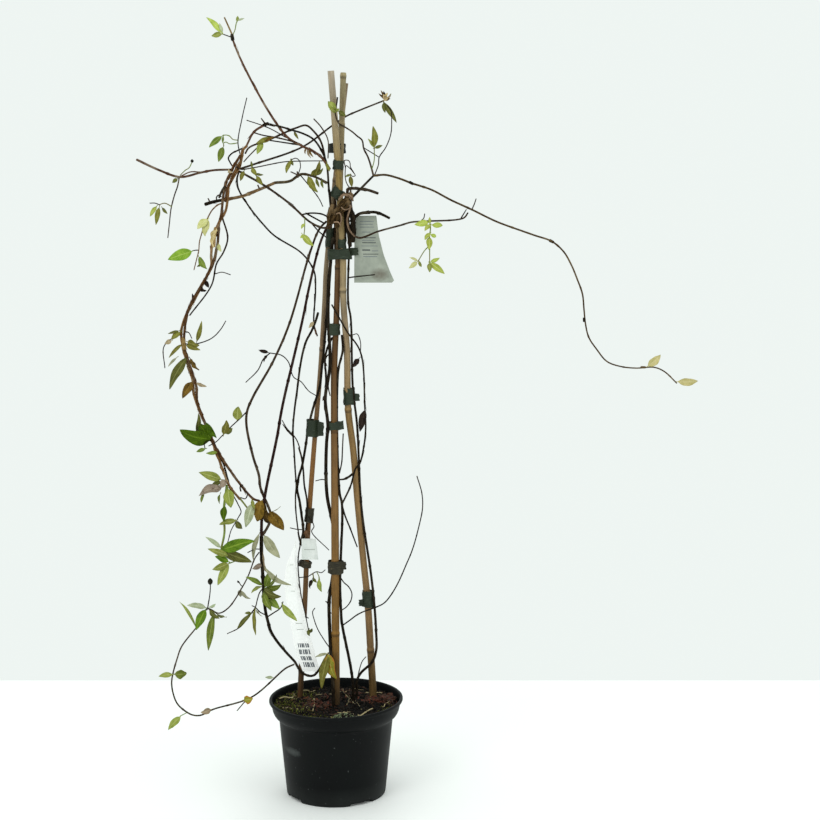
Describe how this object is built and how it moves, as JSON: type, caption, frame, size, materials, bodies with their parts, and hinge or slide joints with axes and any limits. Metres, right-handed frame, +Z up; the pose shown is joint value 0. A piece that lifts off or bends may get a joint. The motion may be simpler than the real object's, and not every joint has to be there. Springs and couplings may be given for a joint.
{
  "type": "potted climbing plant",
  "caption": "Climbing honeysuckle in a round nursery pot, its woody twining stems taped to bamboo canes, with leafy shoots hanging to both sides.",
  "frame": {"origin": "centre of the pot's base, on the surface it stands on", "axes": "+Z up along the canes, +X to the right of the front view, -Y towards the front"},
  "size_m": [0.6819, 0.17, 0.9721],
  "materials": {
    "pot_plastic": "semi-matte black",
    "soil": "rough, mossy",
    "bamboo": "dry bamboo",
    "bamboo_dark": "weathered bamboo",
    "bark_dark": "rough bark",
    "bark_brown": "rough bark, green leaves",
    "bark_pale": "weathered bark",
    "bark_rope": "stringy bark, green leaves",
    "bark_old": "peeling bark",
    "leaf_green": "green shoot and leaves",
    "tape": "dark green tape",
    "label": "weathered translucent white"
  },
  "bodies": {
    "root": {"pot": "pot_plastic", "soil": "soil", "cane_left": "bamboo", "cane_middle": "bamboo_dark", "cane_right": "bamboo", "stem_middle_left": "bark_dark", "stem_middle_right": "bark_dark", "stem_right_cane": "bark_dark", "stem_left_cane": "bark_dark", "main_stem": "bark_brown", "lower_loop": "bark_brown", "old_bark": "bark_old", "top_arches": "bark_brown", "rope": "bark_rope", "crossing_twig": "bark_brown", "cut_branch": "bark_pale", "arched_stem": "bark_dark", "left_shoot": "bark_brown", "right_vine": "bark_pale", "right_spray": "bark_brown", "right_stubs": "bark_pale", "cane_top_shoot": "leaf_green", "tie_left_lower": "tape", "tie_left_middle": "tape", "tie_left_upper": "tape", "tie_middle": "tape", "tie_right_upper": "tape", "tie_middle_lower": "tape", "tie_right_lower": "tape", "tie_middle_upper": "tape", "tie_ring": "tape", "tie_tape_left": "tape", "tie_tape_centre": "tape", "tie_diagonal": "tape", "tie_upper": "tape", "tie_top": "tape", "plant_label": "label", "label_strip": "label", "small_tag": "label"}
  },
  "joints": []
}
